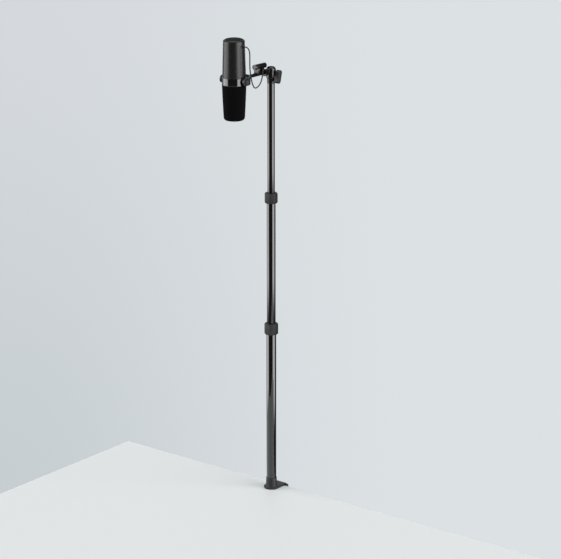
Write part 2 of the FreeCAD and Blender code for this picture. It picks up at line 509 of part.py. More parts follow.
def inside(half, inner):
    flange = sleeve(inner - SEAT, CHASSIS_R - CHASSIS_WALL, at_mic(-3.0), Z, 5.0)
    tube_low, tube_high = -30.0, 48.0
    tube = sleeve(CHASSIS_R, CHASSIS_R - CHASSIS_WALL, at_mic(tube_low), Z, tube_high - tube_low)
    nodes["inner_chassis"] = tube.fuse(flange).removeSplitter()
    sleeve_low = tube_low - 8.0
    mount = sleeve(CHASSIS_R + 2.0, CHASSIS_R + SEAT, at_mic(tube_low), Z, 12.0)
    floor = sleeve(CHASSIS_R + 2.0, 5.0, at_mic(sleeve_low), Z, 8.0)
    nodes["capsule_shock_mount"] = mount.fuse(floor).removeSplitter()
    capsule = rod(CAPSULE_R, at_mic(sleeve_low - CAPSULE_H), Z, CAPSULE_H)
    nodes["dynamic_capsule"] = chamfered(capsule, 1.5, lambda e: flat_at(e, HEAD_Z + sleeve_low - CAPSULE_H))
    base = sleeve(CHASSIS_R, 3.0, at_mic(tube_high), Z, 2.0)
    core = block((-11, -REACH - 9, HEAD_Z + tube_high + 2), (11, -REACH + 9, HEAD_Z + tube_high + 20))
    nodes["matching_transformer"] = base.fuse(core).removeSplitter()
    board_x = CHASSIS_R + 1.0
    rest = block((-board_x, -REACH - 4, HEAD_Z + 12), (-CHASSIS_R + 0.4, -REACH + 4, HEAD_Z + 20))
    rest = rest.cut(rod(CHASSIS_R + SEAT, at_mic(10), Z, 12.0))
    board = block((-board_x - 1.6, -REACH - 10, HEAD_Z + 10), (-board_x, -REACH + 10, HEAD_Z + 62))
    nodes["circuit_board"] = board.fuse(rest).removeSplitter()


# ---- lead ----
def swept_route(points, radius):
    """A tube of straight runs joined by tangent arcs, each as large as its two runs allow."""
    points = [FreeCAD.Vector(*p) for p in points]
    edges, radii, start = [], [], points[0]
    for before, corner, after in zip(points, points[1:], points[2:]):
        a, b = (corner - before).normalize(), (after - corner).normalize()
        half_turn = a.getAngle(b) / 2
        trim = 0.45 * min((corner - before).Length, (after - corner).Length)
        bend = trim / math.tan(half_turn)
        radii.append(bend)
        enter, leave = corner - a * trim, corner + b * trim
        towards = (b - a).normalize()
        middle = corner + towards * (bend / math.cos(half_turn) - bend)
        edges.append(Part.LineSegment(start, enter).toShape())
        edges.append(Part.Arc(enter, middle, leave).toShape())
        start = leave
    edges.append(Part.LineSegment(start, points[-1]).toShape())
    spine = Part.Wire(edges)
    first = (points[1] - points[0]).normalize()
    section = Part.Wire(Part.Circle(points[0], first, radius).toShape())
    solid = spine.makePipeShell([section], True, False)
    share = solid.Volume / (math.pi * radius ** 2 * spine.Length)
    print("lead: length %.1f mm, volume is %.4f of section times length" % (spine.Length, share))
    print("lead radii: " + ", ".join("%.1f" % r for r in radii))
    return solid


def lead():
    start = relief_end()
    end = (GLAND_X, GLAND_Y, BARREL_Z - 11.5)
    nodes["mic_lead"] = swept_route([start] + LEAD_ROUTE + [end], LEAD_R)


clamp()
pole()
head()
arm()
connector()
microphone()
lead()
os.makedirs("parts", exist_ok=True)
for name, shape in nodes.items():
    if not shape.isValid() or not shape.Solids:
        print("not a sound solid: " + name)
    shape.exportStep("parts/%s.step" % name)
print("%d nodes" % len(nodes))
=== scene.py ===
import math
import bmesh
import bpy
from mathutils import Matrix, Vector


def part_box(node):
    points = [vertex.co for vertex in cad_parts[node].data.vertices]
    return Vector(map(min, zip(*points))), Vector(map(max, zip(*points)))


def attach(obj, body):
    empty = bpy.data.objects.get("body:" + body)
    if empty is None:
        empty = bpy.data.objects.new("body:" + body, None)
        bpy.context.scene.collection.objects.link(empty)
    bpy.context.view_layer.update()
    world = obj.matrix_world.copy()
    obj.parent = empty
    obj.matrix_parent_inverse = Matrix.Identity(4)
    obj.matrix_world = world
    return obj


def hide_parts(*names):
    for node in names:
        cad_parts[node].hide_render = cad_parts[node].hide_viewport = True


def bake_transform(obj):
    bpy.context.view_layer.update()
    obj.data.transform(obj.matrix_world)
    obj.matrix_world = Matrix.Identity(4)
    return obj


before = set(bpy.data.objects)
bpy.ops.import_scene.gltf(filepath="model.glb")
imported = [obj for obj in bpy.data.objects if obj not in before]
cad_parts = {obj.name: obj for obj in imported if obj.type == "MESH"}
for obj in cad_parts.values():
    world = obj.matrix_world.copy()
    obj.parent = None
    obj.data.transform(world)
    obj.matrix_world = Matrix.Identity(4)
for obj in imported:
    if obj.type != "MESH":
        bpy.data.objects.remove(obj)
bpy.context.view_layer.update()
MM = 0.001


# ---- camera and desk -------------------------------------------------------------------------
# The camera stands in front of the desk's right half and looks down at it. The desk top is a pale
# laminated board that the clamp grips at its back edge; it isn't part of the object.
AZIMUTH, PITCH = math.radians(38.0), math.radians(16.35)
CAMERA_AWAY, CAMERA_ASIDE, CAMERA_UP = 5.512, 0.0222, 2.150

ahead = Vector((-math.sin(AZIMUTH), math.cos(AZIMUTH), 0))
aside = Vector((math.cos(AZIMUTH), math.sin(AZIMUTH), 0))
camera = bpy.data.objects.new("camera", bpy.data.cameras.new("camera"))
camera.data.sensor_width, camera.data.lens = 36.0, 153.56
camera.data.clip_end = 50
camera.location = aside * CAMERA_ASIDE - ahead * CAMERA_AWAY + Vector((0, 0, CAMERA_UP))
camera.rotation_euler = (math.pi / 2 - PITCH, 0, AZIMUTH)
bpy.context.collection.objects.link(camera)
bpy.context.scene.camera = camera
bpy.context.scene.view_settings.view_transform = "Standard"


def linear(code):
    """An sRGB hex colour as the linear colour that shaders take."""
    channels = [int(code[i:i + 2], 16) / 255 for i in (1, 3, 5)]
    return [c / 12.92 if c <= 0.04045 else ((c + 0.055) / 1.055) ** 2.4 for c in channels] + [1.0]


def add(tree, kind, settings=None, links=None):
    """Adds a node: settings are its properties and socket values, links its inputs."""
    node = tree.nodes.new(kind)
    for key, value in (settings or {}).items():
        if isinstance(key, str) and hasattr(node, key):
            setattr(node, key, value)
        else:
            node.inputs[key].default_value = value
    for key, socket in (links or {}).items():
        tree.links.new(socket, node.inputs[key])
    return node


def new_material(name, **settings):
    """A material with one Principled shader, whose sockets are set by their names."""
    material = bpy.data.materials.new(name)
    material.use_nodes = True
    shader = material.node_tree.nodes["Principled BSDF"]
    for key, value in settings.items():
        shader.inputs[key.replace("_", " ")].default_value = value
    return material, material.node_tree, shader


def fine_surface(tree, shader, colours, size_mm, bump_mm, roughness, detail=4.0):
    """A mottled colour, roughness and bump from one noise on Object coordinates."""
    place = add(tree, "ShaderNodeTexCoord")
    noise = add(tree, "ShaderNodeTexNoise", {"Scale": 1 / (size_mm * MM), "Detail": detail},
                {"Vector": place.outputs["Object"]})
    colour = add(tree, "ShaderNodeMix", {"data_type": "RGBA", 6: linear(colours[0]), 7: linear(colours[1])},
                 {0: noise.outputs["Fac"]})
    tree.links.new(colour.outputs[2], shader.inputs["Base Color"])
    rough = add(tree, "ShaderNodeMapRange", {"To Min": roughness[0], "To Max": roughness[1]},
                {"Value": noise.outputs["Fac"]})
    tree.links.new(rough.outputs["Result"], shader.inputs["Roughness"])
    bump = add(tree, "ShaderNodeBump", {"Strength": 1.0, "Distance": bump_mm * MM},
               {"Height": noise.outputs["Fac"]})
    tree.links.new(bump.outputs["Normal"], shader.inputs["Normal"])
    return noise


DESK_LEFT, DESK_RIGHT, DESK_FRONT = -0.496, 1.2, -0.8
desk_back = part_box("clamp_frame")[1].y - 6.0 * MM
desk_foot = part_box("pressure_pad")[1].z
desk_mesh = bmesh.new()
bmesh.ops.create_cube(desk_mesh, size=1.0)
for vertex in desk_mesh.verts:
    vertex.co.x = DESK_RIGHT if vertex.co.x > 0 else DESK_LEFT
    vertex.co.y = desk_back if vertex.co.y > 0 else DESK_FRONT
    vertex.co.z = 0.0 if vertex.co.z > 0 else desk_foot
bmesh.ops.bevel(desk_mesh, geom=list(desk_mesh.edges), offset=0.0008, segments=2, affect="EDGES")
desk = bpy.data.objects.new("desk", bpy.data.meshes.new("desk"))
desk_mesh.to_mesh(desk.data)
bpy.context.collection.objects.link(desk)
# Melamine laminate has a faint pearl grain and a soft, even sheen.
desk_material, tree, shader = new_material("white_melamine", IOR=1.5)
fine_surface(tree, shader, ("#dfe3e4", "#e2e6e7"), 3.0, 0.01, (0.45, 0.55))
desk.data.materials.append(desk_material)


# ---- studio light ----------------------------------------------------------------------------
# Two tall soft panels stand left and right of the camera and a wide one hangs overhead; the rest of
# the room is dark, so that gloss shows the panels as strips. The camera sees a pale wall, and so do
# gloss and glass that face away from it.
ROOM, PANEL_LEFT, PANEL_RIGHT, PANEL_TOP, BEHIND = 0.06, 3.1, 3.7, 1.3, 0.72
WALL_LEFT_TOP, WALL_LEFT_FOOT, WALL_RIGHT = "#d5d9dd", "#c7ced1", "#dce1e4"

world = bpy.data.worlds.new("studio")
bpy.context.scene.world = world
world.use_nodes = True
tree = world.node_tree
tree.nodes.clear()
direction = add(tree, "ShaderNodeTexCoord")
faced = add(tree, "ShaderNodeMapping", {"Rotation": (0, 0, math.pi / 2 - AZIMUTH)},
            {"Vector": direction.outputs["Generated"]})
axes = add(tree, "ShaderNodeSeparateXYZ", {}, {"Vector": faced.outputs["Vector"]})
bearing = add(tree, "ShaderNodeMath", {"operation": "ARCTAN2"}, {0: axes.outputs["Y"], 1: axes.outputs["X"]})
height = add(tree, "ShaderNodeMath", {"operation": "ARCSINE"}, {0: axes.outputs["Z"]})


def ramp(source, start, end):
    """A smooth step from 0 to 1 as a value goes from start to end."""
    return add(tree, "ShaderNodeMapRange", {"interpolation_type": "SMOOTHSTEP", "From Min": start,
                                            "From Max": end}, {"Value": source}).outputs["Result"]


def combined(operation, first, second):
    """One value from two, each a socket or a number."""
    values = {0: first, 1: second}
    numbers = {key: value for key, value in values.items() if isinstance(value, float)}
    links = {key: value for key, value in values.items() if not isinstance(value, float)}
    return add(tree, "ShaderNodeMath", {"operation": operation, **numbers}, links).outputs["Value"]


def panel(strength, sides, rows, soft):
    """A soft-edged rectangle of light between two bearings and two elevations, in degrees."""
    level = None
    for source, (low, high) in ((bearing, sides), (height, rows)):
        for edge, sign in ((low, 1), (high, -1)):
            start, end = math.radians(edge - sign * soft), math.radians(edge + sign * soft)
            mask = ramp(source.outputs["Value"], start, end)
            level = combined("MULTIPLY", level, mask) if level else mask
    return combined("MULTIPLY", level, strength)


behind = ramp(axes.outputs["X"], -0.80, -0.88)
total = combined("ADD", combined("MULTIPLY", behind, BEHIND), ROOM)
for level in (panel(PANEL_LEFT, (-120, -62), (-20, 48), 4), panel(PANEL_RIGHT, (33, 86), (-20, 48), 4),
              panel(PANEL_TOP, (-400, 400), (58, 100), 8)):
    total = combined("ADD", total, level)
# The wall is painted shade: a little darker on the left than on the right, and darker still towards its foot on
# the left.
rise = ramp(height.outputs["Value"], math.radians(-22), math.radians(-9))
left_wall = add(tree, "ShaderNodeMix", {"data_type": "RGBA", 6: linear(WALL_LEFT_FOOT),
                                        7: linear(WALL_LEFT_TOP)}, {0: rise})
wall = add(tree, "ShaderNodeMix", {"data_type": "RGBA", 7: linear(WALL_RIGHT)},
           {0: ramp(axes.outputs["Y"], -0.12, 0.06), 6: left_wall.outputs[2]})
studio = add(tree, "ShaderNodeBackground", {"Color": linear("#ffffff")}, {"Strength": total})
seen = add(tree, "ShaderNodeBackground", {"Strength": 1.0}, {"Color": wall.outputs[2]})
rays = add(tree, "ShaderNodeLightPath")
mirrored = combined("ADD", rays.outputs["Is Glossy Ray"], rays.outputs["Is Transmission Ray"])
sees_wall = combined("MAXIMUM", rays.outputs["Is Camera Ray"], combined("MULTIPLY", mirrored, behind))
choice = add(tree, "ShaderNodeMixShader", {}, {0: sees_wall, 1: studio.outputs[0], 2: seen.outputs[0]})
add(tree, "ShaderNodeOutputWorld", {}, {"Surface": choice.outputs[0]})


# ---- clamp frame -----------------------------------------------------------------------------
# The clamp is a die-cast C with its top plate, back plate and lower jaw in one piece. It is powder
# coated, which leaves a fine orange peel with a satin gloss and softens every edge.
powder_coat, tree, shader = new_material("black_powder_coat", IOR=1.5)
fine_surface(tree, shader, ("#1a1a1b", "#222223"), 0.9, 0.03, (0.46, 0.58))


def shown(name, mesh, material, body, slot, *nodes):
    """Links a finished mesh as a piece that stands for CAD nodes and rides on their body."""
    piece = bpy.data.objects.new(name, mesh)
    bpy.context.collection.objects.link(piece)
    mesh.materials.clear()
    mesh.materials.append(material)
    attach(piece, body)
    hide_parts(*nodes)
    return piece


def smoothed(mesh, sharp=38):
    """Smooth shading, with edges over an angle left sharp."""
    for polygon in mesh.polygons:
        polygon.use_smooth = True
    mesh.set_sharp_from_angle(angle=math.radians(sharp))
    return mesh


def with_modifiers(mesh, *modifiers):
    """Runs modifiers, each a (kind, settings) pair, over a mesh and returns the result."""
    holder = bpy.data.objects.new("holder", mesh)
    bpy.context.collection.objects.link(holder)
    for kind, settings in modifiers:
        modifier = holder.modifiers.new(kind.lower(), kind)
        for key, value in settings.items():
            setattr(modifier, key, value)
    result = bpy.data.meshes.new_from_object(holder.evaluated_get(bpy.context.evaluated_depsgraph_get()))
    bpy.data.objects.remove(holder)
    return result


def rounding(width_mm, limit=32, segments=3):
    return ("BEVEL", {"width": width_mm * MM, "segments": segments, "limit_method": "ANGLE",
                      "angle_limit": math.radians(limit), "use_clamp_overlap": True})


def eased(node, width_mm, limit=32):
    """A copy of a CAD node with its edges rounded."""
    source = bmesh.new()
    source.from_mesh(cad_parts[node].data)
    bmesh.ops.remove_doubles(source, verts=source.verts, dist=1e-6)
    bmesh.ops.dissolve_limit(source, angle_limit=math.radians(1.0), verts=source.verts, edges=source.edges)
    mesh = bpy.data.meshes.new(node)
    source.to_mesh(mesh)
    source.free()
    return smoothed(with_modifiers(mesh, rounding(width_mm, limit)))


shown("clamp_casting", eased("clamp_frame", 0.5), powder_coat, "root", "powder_coat_black", "clamp_frame")


# ---- turned pieces: pole socket --------------------------------------------------------------
# The socket is a flared collar, cast apart and coated like the clamp, that the pole stands in.
def turned(outline, base, direction=(0, 0, 1), ease_mm=0.3, steps=96):
    """Spins an outline of (radius, height) points, in millimetres, round an axis through base."""
    spun = bmesh.new()
    rings = []
    for radius, rise in outline:
        count = steps if radius > 0 else 1
        angles = [2 * math.pi * i / steps for i in range(count)]
        rings.append([spun.verts.new((radius * math.cos(a), radius * math.sin(a), rise)) for a in angles])
    pairs = list(zip(rings, rings[1:]))
    if outline[0][0] > 0:
        pairs.append((rings[-1], rings[0]))
    for low, high in pairs:
        for i in range(steps):
            corners = [low[i % len(low)], low[(i + 1) % steps % len(low)],
                       high[(i + 1) % steps % len(high)], high[i % len(high)]]
            corners = list(dict.fromkeys(corners))
            if len(corners) > 2:
                spun.faces.new(corners)
    bmesh.ops.recalc_face_normals(spun, faces=spun.faces)
    turn = Vector((0, 0, 1)).rotation_difference(Vector(direction)).to_matrix().to_4x4()
    spun.transform(Matrix.Translation(Vector(base)) @ turn @ Matrix.Scale(MM, 4))
    mesh = bpy.data.meshes.new("turned")
    spun.to_mesh(mesh)
    spun.free()
    if ease_mm:
        mesh = with_modifiers(mesh, rounding(ease_mm, 24))
    return smoothed(mesh)


def arc(centre_r, centre_h, radius, start, end, steps=8):
    """Points of an outline on a circle, from one angle to another, in degrees."""
    angles = [math.radians(start + (end - start) * i / steps) for i in range(steps + 1)]
    return [(centre_r + radius * math.cos(a), centre_h + radius * math.sin(a)) for a in angles]


def middle(node):
    low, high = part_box(node)
    return (low + high) / 2


def radius_of(node, axis=0):
    """Half the width of a round CAD node, in millimetres."""
    low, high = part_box(node)
    return (high[axis] - low[axis]) / 2 / MM


low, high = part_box("pole_socket")
rim, foot_r, tall = 12.85, radius_of("pole_socket"), (high.z - low.z) / MM
socket = [(12.05, 0.0), (foot_r, 0.0)]
socket += arc(foot_r, 3.6, 3.2, 262, 192, 7)
socket += [(rim + 0.55, 9.0), (rim, tall), (12.05, tall)]
shown("flared_socket", turned(socket, (0, 0, low.z), ease_mm=0.35), powder_coat, "root",
      "powder_coat_black", "pole_socket")


# ---- clamp pads ------------------------------------------------------------------------------
# Two pads of soft black rubber keep the steel off the desk. They are cut from sheet and bonded on,
# so they are dull and a little chalky.
rubber, tree, shader = new_material("black_sheet_rubber", IOR=1.5)
fine_surface(tree, shader, ("#161616", "#232323"), 0.7, 0.05, (0.75, 0.95))
shown("plate_pad", eased("top_pad", 0.2), rubber, "root", "pad_rubber", "top_pad")
low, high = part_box("pressure_pad")
pad_r, thick = radius_of("pressure_pad"), (high.z - low.z) / MM
pad = [(0, 0), (pad_r, 0), (pad_r, thick)]
for ring in (13.0, 9.5, 6.0):
    pad += [(ring + 0.6, thick), (ring, thick - 0.5), (ring - 0.6, thick)]
pad += [(0, thick)]
shown("disc_pad", turned(pad, (0, 0, low.z), ease_mm=0.15), rubber, "clamp_disc", "pad_rubber", "pressure_pad")


# ---- pressure disc ---------------------------------------------------------------------------
# The screw and its disc are mild steel, turned and zinc plated: a bright, slightly blue grey with
# fine rings left by the tool. The thread is coarse, 3 mm a turn.
zinc, tree, shader = new_material("zinc_plated_steel", Metallic=1.0)
place = add(tree, "ShaderNodeTexCoord")
stretch = add(tree, "ShaderNodeMapping", {"Scale": (120, 120, 2600)}, {"Vector": place.outputs["Object"]})
grain = add(tree, "ShaderNodeTexNoise", {"Scale": 1.0, "Detail": 3.0}, {"Vector": stretch.outputs["Vector"]})
tone = add(tree, "ShaderNodeMix", {"data_type": "RGBA", 6: linear("#8f9295"), 7: linear("#b4b6b8")},
           {0: grain.outputs["Fac"]})
tree.links.new(tone.outputs[2], shader.inputs["Base Color"])
rough = add(tree, "ShaderNodeMapRange", {"To Min": 0.22, "To Max": 0.42}, {"Value": grain.outputs["Fac"]})
tree.links.new(rough.outputs["Result"], shader.inputs["Roughness"])

low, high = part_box("pressure_disc")
disc_r = radius_of("pressure_disc")
tall = (high.z - low.z) / MM
plate = [(0, tall), (disc_r, tall), (disc_r, tall - 3.0), (9.0, tall - 3.0), (8.0, tall - 3.8), (8.0, 0),
         (5.05, 0), (5.05, tall - 3.0), (0, tall - 3.0)]
shown("pressure_plate", turned(plate, (0, 0, low.z)), zinc, "clamp_disc", "zinc_steel", "pressure_disc")


# ---- clamp screw -----------------------------------------------------------------------------
# The screw is 10 mm steel with a rolled thread that stops short of both ends, and a turned neck
# that is trapped in the disc.
def tree_inputs(group, sizes):
    """Makes a node group's named inputs, and its one geometry output."""
    for name, value in sizes.items():
        kind = "NodeSocketInt" if isinstance(value, int) else "NodeSocketFloat"
        group.interface.new_socket(name, in_out="INPUT", socket_type=kind).default_value = value
    group.interface.new_socket("Geometry", in_out="OUTPUT", socket_type="NodeSocketGeometry")
    return add(group, "NodeGroupInput")


def grown(group, sizes):
    """Runs a geometry node group with these sizes and returns its mesh."""
    holder = bpy.data.objects.new("holder", bpy.data.meshes.new("holder"))
    bpy.context.collection.objects.link(holder)
    modifier = holder.modifiers.new("grow", "NODES")
    modifier.node_group = group
    for item in group.interface.items_tree:
        if item.in_out == "INPUT" and item.name in sizes:
            modifier[item.identifier] = sizes[item.name]
    result = bpy.data.meshes.new_from_object(holder.evaluated_get(bpy.context.evaluated_depsgraph_get()))
    bpy.data.objects.remove(holder)
    return result


def joined(meshes):
    """One mesh from several."""
    whole = bmesh.new()
    for mesh in meshes:
        whole.from_mesh(mesh)
    result = bpy.data.meshes.new("joined")
    whole.to_mesh(result)
    whole.free()
    return smoothed(result)


def moved(mesh, base, direction=(0, 0, 1)):
    turn = Vector((0, 0, 1)).rotation_difference(Vector(direction)).to_matrix().to_4x4()
    mesh.transform(Matrix.Translation(Vector(base)) @ turn)
    return mesh


def thread_group(material):
    """A thread: a three-sided ridge swept along a helix that rises along +Z."""
    group = bpy.data.node_groups.new("thread", "GeometryNodeTree")
    given = tree_inputs(group, {"Radius": 0.005, "Pitch": 0.003, "Length": 0.05, "Ridge": 0.0009})
    turns = add(group, "ShaderNodeMath", {"operation": "DIVIDE"},
                {0: given.outputs["Length"], 1: given.outputs["Pitch"]})
    helix = add(group, "GeometryNodeCurveSpiral", {"Resolution": 36},
                {"Rotations": turns.outputs[0], "Start Radius": given.outputs["Radius"],
                 "End Radius": given.outputs["Radius"], "Height": given.outputs["Length"]})
    profile = add(group, "GeometryNodeCurvePrimitiveCircle", {"Resolution": 3}, {"Radius": given.outputs["Ridge"]})
    sweep = add(group, "GeometryNodeCurveToMesh", {"Fill Caps": True},
                {"Curve": helix.outputs["Curve"], "Profile Curve": profile.outputs["Curve"]})
    real = add(group, "GeometryNodeRealizeInstances", {}, {"Geometry": sweep.outputs["Mesh"]})
    paint = add(group, "GeometryNodeSetMaterial", {"Material": material}, {"Geometry": real.outputs["Geometry"]})
    add(group, "NodeGroupOutput", {}, {"Geometry": paint.outputs["Geometry"]})
    return group


THREAD_PITCH = 3.0
low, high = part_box("clamp_screw")
screw_r, long = radius_of("clamp_screw"), (high.z - low.z) / MM
core_r = screw_r - 0.75
shaft = [(0, 0), (core_r, 0), (core_r, long - 7.0), (3.6, long - 6.2), (3.6, long - 1.0), (2.8, long), (0, long)]
helix = grown(thread_group(zinc), {"Radius": core_r * MM, "Pitch": THREAD_PITCH * MM,
                                         "Length": (long - 12.0) * MM, "Ridge": 0.74 * MM})
screw = joined([turned(shaft, (0, 0, low.z)), moved(helix, (0, 0, low.z + 4.0 * MM))])
shown("threaded_screw", screw, zinc, "clamp_screw", "zinc_steel", "clamp_screw")


# ---- clamp knob and twist-lock collars -------------------------------------------------------
# The hand knob, the two collars and the lock knob are injection moulded in black glass-filled nylon.
# The mould is spark eroded, so the faces are satin with a fine, even grain.
nylon, tree, shader = new_material("moulded_black_nylon", IOR=1.53)
fine_surface(tree, shader, ("#121213", "#19191a"), 0.55, 0.02, (0.44, 0.56), 6.0)
shown("hand_knob", eased("clamp_knob", 0.8), nylon, "clamp_screw", "collar_plastic", "clamp_knob")
for stage in ("lower", "upper"):
    name = stage + "_collar"
    shown(stage + "_twist_lock", eased(name, 0.5, 12), nylon, name, "collar_plastic", name)


# ---- telescopic tubes ------------------------------------------------------------------------
# Three seamless steel tubes slide in each other. They are finished in deep black gloss lacquer, so
# that they mirror their surroundings as long upright strips.
lacquer, tree, shader = new_material("gloss_black_lacquer", IOR=1.52, Coat_Weight=1.0, Coat_Roughness=0.05,
                                     Coat_IOR=1.55)
fine_surface(tree, shader, ("#050505", "#080808"), 14.0, 0.01, (0.08, 0.14), 2.0)


def tube(node, material, body, name):
    """A tube with rounded rims, made to the size of its CAD node."""
    low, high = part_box(node)
    outer, tall = radius_of(node), (high.z - low.z) / MM
    wall = 0.8
    outline = [(outer - wall, 0), (outer, 0), (outer, tall), (outer - wall, tall)]
    shown(name, turned(outline, (0, 0, low.z), ease_mm=0.2, steps=128), material, body,
          "gloss_black_tube", node)


tube("lower_tube", lacquer, "root", "outer_pole_tube")
tube("middle_tube", lacquer, "middle_stage", "middle_pole_tube")
tube("upper_tube", lacquer, "upper_stage", "inner_pole_tube")


# ---- ball head -------------------------------------------------------------------------------
# The housing is turned from aluminium bar, slotted for the stud and anodised glossy black. Its lock
# knob stands off on the right, and the ball shows in its mouth.
anodised, tree, shader = new_material("gloss_black_anodised", IOR=1.6)
fine_surface(tree, shader, ("#0b0b0c", "#111112"), 1.6, 0.004, (0.14, 0.24))
shown("ball_head_housing", eased("head_housing", 0.35, 26), anodised, "upper_stage", "black_anodised",
      "head_housing")
shown("wing_lock_knob", eased("lock_knob", 0.5), nylon, "head_lock", "collar_plastic", "lock_knob")

low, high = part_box("ball_stud")
ball_r = radius_of("ball_stud")
reach = -low.y / MM
stud = [(0, -ball_r)] + arc(0, 0, ball_r, -84, 60, 24)
stud += [(3.9, 8.6), (3.9, 13.0), (7.4, 13.0), (8.0, 13.6), (8.0, 15.6), (7.4, 16.2), (3.0, 16.2)]
stud += [(3.0, reach - 0.6), (2.4, reach), (0, reach)]
ball_z = (low.z + high.z) / 2
threaded = grown(thread_group(anodised), {"Radius": 2.75 * MM, "Pitch": 1.0 * MM,
                                                    "Length": (reach - 19.0) * MM, "Ridge": 0.42 * MM})
stud_mesh = joined([turned(stud, (0, 0, ball_z), (0, -1, 0), 0.15),
                    moved(threaded, (0, -17.5 * MM, ball_z), (0, -1, 0))])
shown("ball_and_stud", stud_mesh, anodised, "ball_stud", "black_anodised", "ball_stud")


# ---- jam nut ---------------------------------------------------------------------------------
# The round nut that locks the arm on the stud is aluminium, knurled with straight ribs round its rim
# and anodised with the head.
def rib_group(material):
    """Ribs that stand along +Z round a rim."""
    group = bpy.data.node_groups.new("ribs_round_a_rim", "GeometryNodeTree")
    given = tree_inputs(group, {"Count": 20, "Rim": 0.008, "Rib": 0.0007, "Length": 0.006})
    ring = add(group, "GeometryNodeMeshCircle", {}, {"Vertices": given.outputs["Count"],
                                                     "Radius": given.outputs["Rim"]})
    rib = add(group, "GeometryNodeMeshCylinder", {"Vertices": 8},
              {"Radius": given.outputs["Rib"], "Depth": given.outputs["Length"]})
    copies = add(group, "GeometryNodeInstanceOnPoints", {},
                 {"Points": ring.outputs["Mesh"], "Instance": rib.outputs["Mesh"]})
    real = add(group, "GeometryNodeRealizeInstances", {}, {"Geometry": copies.outputs["Instances"]})
    paint = add(group, "GeometryNodeSetMaterial", {"Material": material}, {"Geometry": real.outputs["Geometry"]})
    add(group, "NodeGroupOutput", {}, {"Geometry": paint.outputs["Geometry"]})
    return group


low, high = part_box("arm_lock_nut")
nut_r, nut_l = 8.4, (high.y - low.y) / MM
nut = [(3.05, 0), (nut_r - 1.4, 0), (nut_r - 0.5, 0.9), (nut_r - 0.5, nut_l - 0.9), (nut_r - 1.4, nut_l),
       (3.05, nut_l)]
ribs = grown(rib_group(anodised), {"Count": 36, "Rim": (nut_r - 0.62) * MM, "Rib": 0.55 * MM,
                                             "Length": (nut_l - 1.6) * MM})
nut_mesh = joined([turned(nut, (0, high.y, ball_z), (0, -1, 0), 0.2),
                   moved(ribs, (0, (low.y + high.y) / 2, ball_z), (0, -1, 0))])
shown("knurled_jam_nut", nut_mesh, anodised, "arm_nut", "black_anodised", "arm_lock_nut")


# ---- arm tube --------------------------------------------------------------------------------
# A short steel tube carries the yoke. It has a small flange where it meets the yoke's back, and the
# same black lacquer as the pole.
shown("arm_rod", eased("arm_tube", 0.25, 30), lacquer, "arm", "gloss_black_tube", "arm_tube")


# ---- yoke ------------------------------------------------------------------------------------
# The yoke is a half hoop of flat steel bar with round ears, bent and then painted satin black. It
# holds the microphone at its ring, between two thumb knobs.
yoke_paint, tree, shader = new_material("satin_black_paint", IOR=1.5)
fine_surface(tree, shader, ("#29292b", "#323234"), 1.2, 0.02, (0.36, 0.46))
shown("yoke_hoop", eased("yoke_band", 0.45, 30), yoke_paint, "arm", "yoke_paint", "yoke_band")

for side, out in (("left", -1), ("right", 1)):
    low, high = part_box(side + "_yoke_knob")
    knob_r, thick = radius_of(side + "_yoke_knob", 2), (high.x - low.x) / MM
    near = low.x if out > 0 else high.x
    base = (near, (low.y + high.y) / 2, (low.z + high.z) / 2)
    outline = [(0, 0), (knob_r - 0.4, 0), (knob_r - 0.4, thick - 0.6), (knob_r - 1.0, thick),
               (knob_r - 1.7, thick), (knob_r - 2.2, thick - 0.45), (0, thick - 0.45)]
    ribs = grown(rib_group(yoke_paint), {"Count": 30, "Rim": (knob_r - 0.4) * MM, "Rib": 0.38 * MM,
                                         "Length": (thick - 0.7) * MM})
    centre = (near + out * (thick - 0.7) / 2 * MM, base[1], base[2])
    knob_mesh = joined([turned(outline, base, (out, 0, 0), 0.2), moved(ribs, centre, (out, 0, 0))])
    shown(side + "_pivot_knob", knob_mesh, yoke_paint, side + "_pivot", "yoke_paint", side + "_yoke_knob")


# ---- connector barrel ------------------------------------------------------------------------
# The microphone's outlet is a small barrel on a saddle above the arm: an anodised tube with a pale
# nickel end ring, a grey insert and three pins. A plug pushes in from the microphone's side.
nickel, tree, shader = new_material("satin_nickel", Metallic=1.0)
fine_surface(tree, shader, ("#626466", "#737577"), 0.6, 0.01, (0.30, 0.44))
insert_plastic, tree, shader = new_material("grey_moulded_plastic", IOR=1.5)
fine_surface(tree, shader, ("#767779", "#828385"), 0.5, 0.02, (0.4, 0.5))
low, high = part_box("connector_barrel")
barrel_r, barrel_l = radius_of("connector_barrel"), (high.y - low.y) / MM
barrel_z = (low.z + high.z) / 2
barrel = [(0, 0), (barrel_r - 0.8, 0), (barrel_r, 0.8), (barrel_r, barrel_l), (barrel_r - 1.0, barrel_l),
          (barrel_r - 1.0, 1.6), (0, 1.6)]
shown("outlet_barrel", turned(barrel, (0, high.y, barrel_z), (0, -1, 0)), anodised, "arm", "black_anodised",
      "connector_barrel")
low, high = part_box("barrel_end_cap")
cap_l = (high.y - low.y) / MM
cap = [(barrel_r - 1.0, 0), (barrel_r, 0), (barrel_r, cap_l - 0.8), (barrel_r - 0.6, cap_l),
       (barrel_r - 1.0, cap_l)]
shown("outlet_ring", turned(cap, (0, high.y, barrel_z), (0, -1, 0), 0.15), nickel, "arm", "cap_nickel",
      "barrel_end_cap")
shown("outlet_saddle", eased("barrel_saddle", 0.5), anodised, "arm", "black_anodised", "barrel_saddle")


# ---- microphone ring -------------------------------------------------------------------------
# A turned aluminium ring joins the two halves of the body and carries the pivots. It is lacquered
# black to a mirror gloss and ends below in a thin lip that traps the windscreen.
shown("pivot_ring", eased("mid_ring", 0.25, 24), lacquer, "microphone", "ring_gloss", "mid_ring")


